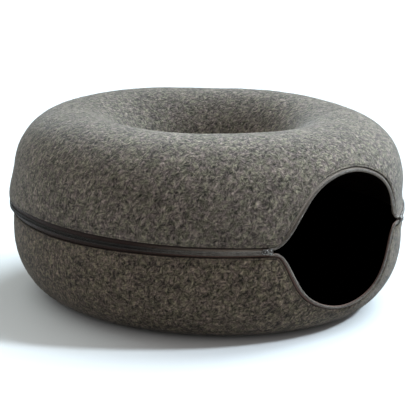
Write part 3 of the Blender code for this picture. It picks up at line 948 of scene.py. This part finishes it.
def slider_flanges(mesh):
    """The bars between a slider's plates that guide the coils, added to a mesh."""
    outline = slider_outline(-FLANGE_INSET)
    width, height = FLANGE_HALF
    for flank in (outline[1:5], outline[7:11]):
        path = np.array([(x, y, FLANGE_MIDDLE) for x, y in flank])
        inward = -np.sign(path[:, 1]) * width
        corners = [path + np.column_stack([0 * inward, inward * w, np.full(len(flank), height * h)])
                   for w, h in ((-1, -1), (1, -1), (1, 1), (-1, 1))]
        verts = [mesh.verts.new(point) for point in np.stack(corners, 1).reshape(-1, 3)]
        for face in tube_faces(1, len(flank), len(corners)):
            mesh.faces.new([verts[corner] for corner in face])


def slider(side, name, finish):
    """A slider's body: two plates, the flanges between them, and its raised bosses."""
    mesh = bmesh.new()
    cover, foot = SLIDER_BEVELS
    rounded_plate(mesh, slider_outline(SLIDER_LIP), SLIDER_BASE, SLIDER_TOP - SLIDER_SLOPE,
                  SLIDER_CROWN, cover)
    rounded_plate(mesh, slider_outline(0.0), -SLIDER_SINK, SLIDER_FOOT - SLIDER_SINK, 0.0, foot)
    for middle, size in SLIDER_BOSSES:
        shape = Matrix.Translation(middle) @ Matrix.Diagonal((*size, 1.0))
        bmesh.ops.create_uvsphere(mesh, u_segments=24, v_segments=12, radius=1.0, matrix=shape)
    slider_flanges(mesh)
    bmesh.ops.recalc_face_normals(mesh, faces=mesh.faces)
    data = bpy.data.meshes.new(name)
    mesh.to_mesh(data)
    mesh.free()
    data.materials.append(finish)
    data.transform(slider_frame(side))
    data.shade_smooth()
    data.set_sharp_from_angle(angle=math.radians(35))
    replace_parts(add_object(name, data), name)


def arch(side, name, finish):
    """The flat arch on a slider's face, which holds its pull."""
    turn = np.linspace(0.0, math.pi, ARCH_POINTS)
    along = ARCH_MIDDLE - (ARCH_LENGTH / 2 - ARCH_WIRE) * np.cos(turn)
    path = np.column_stack([along, 0 * along, ARCH_FOOT + ARCH_HEIGHT * np.sin(turn) ** 0.7])
    points, faces = tubes(path[None], ARCH_WIRE, np.broadcast_to((0.0, 1.0, 0.0), (1, *path.shape)), 8)
    points[:, 1] *= ARCH_WIDTH / (2 * ARCH_WIRE)
    mesh_object(name, transformed(points, slider_frame(side)), faces, [finish], "metal")


def transformed(points, matrix):
    matrix = np.array(matrix)
    return points @ matrix[:3, :3].T + matrix[:3, 3]


def pull(side, name, finish):
    """A small wire ring through the arch, lying back along the chain."""
    front, rear = ARCH_MIDDLE + RING_PLAY, ARCH_MIDDLE - RING_LENGTH
    turn = np.arange(RING_POINTS) / RING_POINTS * 2 * math.pi
    across, ahead = np.sin(turn), np.cos(turn)
    x = (front + rear) / 2 + (front - rear) / 2 * np.sign(ahead) * np.abs(ahead) ** 0.8
    y = RING_WIDTH / 2 * np.sign(across) * np.abs(across) ** 0.7
    z = SLIDER_TOP + RING_GAP + RING_WIRE - RING_SAG * ((front - x) / (front - rear)) ** 2
    path = np.column_stack([x, y, z])
    points, faces = tubes(path[None], RING_WIRE, np.broadcast_to((0.0, 0.0, 1.0), (1, *path.shape)), 8,
                          closed=True)
    points = transformed(points, slider_frame(side))
    made = mesh_object(name.replace("pull", "pull_ring"), points, faces, [finish], "metal")
    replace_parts(made, name)


# The stage --------------------------------------------------------
def make_camera():
    cos_a, sin_a = math.cos(AZIMUTH), math.sin(AZIMUTH)
    back = Vector((sin_a * math.cos(ELEVATION), -cos_a * math.cos(ELEVATION), math.sin(ELEVATION)))
    right = Vector((cos_a, sin_a, 0.0))
    up = back.cross(right)
    x = right * math.cos(ROLL) + up * math.sin(ROLL)
    y = up * math.cos(ROLL) - right * math.sin(ROLL)
    camera = bpy.data.objects.new("camera", bpy.data.cameras.new("camera"))
    axes = Matrix((x, y, back)).transposed().to_4x4()
    camera.matrix_world = Matrix.Translation(AIM + back * DISTANCE) @ axes
    camera.data.sensor_width = SENSOR
    camera.data.lens = FOCAL_PIXELS / PHOTO_SIDE * SENSOR
    camera.data.shift_x = 0.5 - AIM_PIXEL[0] / PHOTO_SIDE
    camera.data.shift_y = AIM_PIXEL[1] / PHOTO_SIDE - 0.5
    camera.data.clip_start = 0.01
    camera.data.clip_end = 100.0
    bpy.context.scene.collection.objects.link(camera)
    bpy.context.scene.camera = camera


def make_floor():
    mesh = bmesh.new()
    bmesh.ops.create_circle(mesh, cap_ends=True, segments=64, radius=FLOOR_RADIUS)
    data = bpy.data.meshes.new("floor")
    mesh.to_mesh(data)
    mesh.free()
    finish = Finish("pale_floor", 0.9, {"Specular IOR Level": 0.1})
    finish.shader.inputs["Base Color"].default_value = (*FLOOR_COLOUR, 1.0)
    data.materials.append(finish.material)
    made = bpy.data.objects.new("floor", data)
    made.location.z = -FLOOR_DROP
    bpy.context.scene.collection.objects.link(made)


def toward(bearing, height):
    """A direction, from its bearing and its height over the horizon in degrees."""
    bearing, height = math.radians(bearing), math.radians(height)
    level = math.cos(height)
    return Vector((level * math.sin(bearing), -level * math.cos(bearing), math.sin(height)))


def lamp(name, kind, strength, colour, direction, target=(0.0, 0.0, 0.0), **settings):
    """A lamp that shines from a direction at a point."""
    light = bpy.data.lights.new(name, kind)
    light.energy = strength
    light.color = colour
    for setting, value in settings.items():
        setattr(light, setting, value)
    made = bpy.data.objects.new(name, light)
    turn = (-direction).to_track_quat("-Z", "Y").to_matrix().to_4x4()
    made.matrix_world = Matrix.Translation(Vector(target) + direction * LAMP_DISTANCE) @ turn
    bpy.context.scene.collection.objects.link(made)


def make_light():
    scene = bpy.context.scene
    scene.view_settings.view_transform = "Standard"
    world = bpy.data.worlds.new("studio")
    world.use_nodes = True
    world.node_tree.nodes["Background"].inputs["Color"].default_value = (SKY, SKY, SKY, 1.0)
    scene.world = world
    lamp("key", "SUN", 11.3, (0.70, 0.863, 0.98), toward(93, 45), angle=SUN_SOFTNESS)
    lamp("behind", "SUN", 1.97, (0.863, 0.997, 1.0), toward(-177, 45), angle=SUN_SOFTNESS)
    lamp("from_left", "SUN", 0.601, (0.818, 0.944, 1.0), toward(-155, 15), angle=SUN_SOFTNESS)
    lamp("over_doorway", "SPOT", 2400.0, (0.735, 0.863, 0.98), toward(48, 45), SPOT_AIM,
         shadow_soft_size=SPOT_WIDTH, spot_size=SPOT_CONE, spot_blend=1.0)


def build():
    make_camera()
    make_floor()
    make_light()
    felt = felt_finish("felt_outside", (0.0594, 0.0490, 0.0390), 1.0)
    # the lower half's felt is a darker, browner copy of the same felt: painted shade on the half that
    # faces down
    felt_below_shaded = felt_finish("felt_outside_lower_shaded", (0.0486, 0.0376, 0.0270), 1.15)
    # the felt's inner face is painted near-black: painted shade inside the ring
    inside_shade = inner_face_shade_finish()
    dark, dark_rib = (0.0078, 0.0034, 0.0026), (0.0224, 0.0116, 0.0087)
    # each tape's near colours are painted light round the doorway
    tape = tape_finish("tape_weave", (dark, (0.0600, 0.0460, 0.0370)),
                       (dark_rib, (0.1620, 0.1320, 0.1080)))
    # the lower tape's near colours are a darker copy of the upper's: painted shade on the lower rim
    tape_below_shaded = tape_finish("tape_weave_lower_shaded", (dark, (0.0336, 0.0194, 0.0157)),
                             (dark_rib, (0.1120, 0.0640, 0.0487)))
    # the coil's near colours are painted light, paler round the doorway
    nylon = cord_finish("nylon_coil", ((0.0067, 0.0058, 0.0043), (0.0896, 0.0776, 0.0670)),
                        ((0.0134, 0.0116, 0.0096), (0.1736, 0.1523, 0.1305)), 0.3, 0.004, 0.25)
    thread = cord_finish("sewing_thread", (0.0134, 0.0107, 0.0087), (0.0314, 0.0252, 0.0200), 0.8, 0.002)
    wool = cord_finish("loose_wool", (0.0336, 0.0281, 0.0226), (0.2016, 0.1697, 0.1392), 0.9, 0.006)
    yarn = cord_finish("waist_yarn", (0.0336, 0.0281, 0.0226), (0.0728, 0.0611, 0.0505), 0.9, 0.002)
    metal = metal_finish()
    waist = waist_stitches(yarn)
    for half, outer, woven in (("upper", felt, tape), ("lower", felt_below_shaded, tape_below_shaded)):
        cloth = felt_half(half, outer, inside_shade)
        strands = fuzz(half, wool)
        extras = [strands, seam_stitches(half, thread)] + ([waist] if half == "upper" else [])
        ribbon, length = tape_side(half, woven)
        coil_side(half, nylon)
        sewn = coil_thread(half, thread)
    for side, hand in ((-1, "left"), (1, "right")):
        slider(side, f"slider_{hand}", metal)
        arch(side, f"arch_{hand}", metal)
        pull(side, f"pull_{hand}", metal)


build()
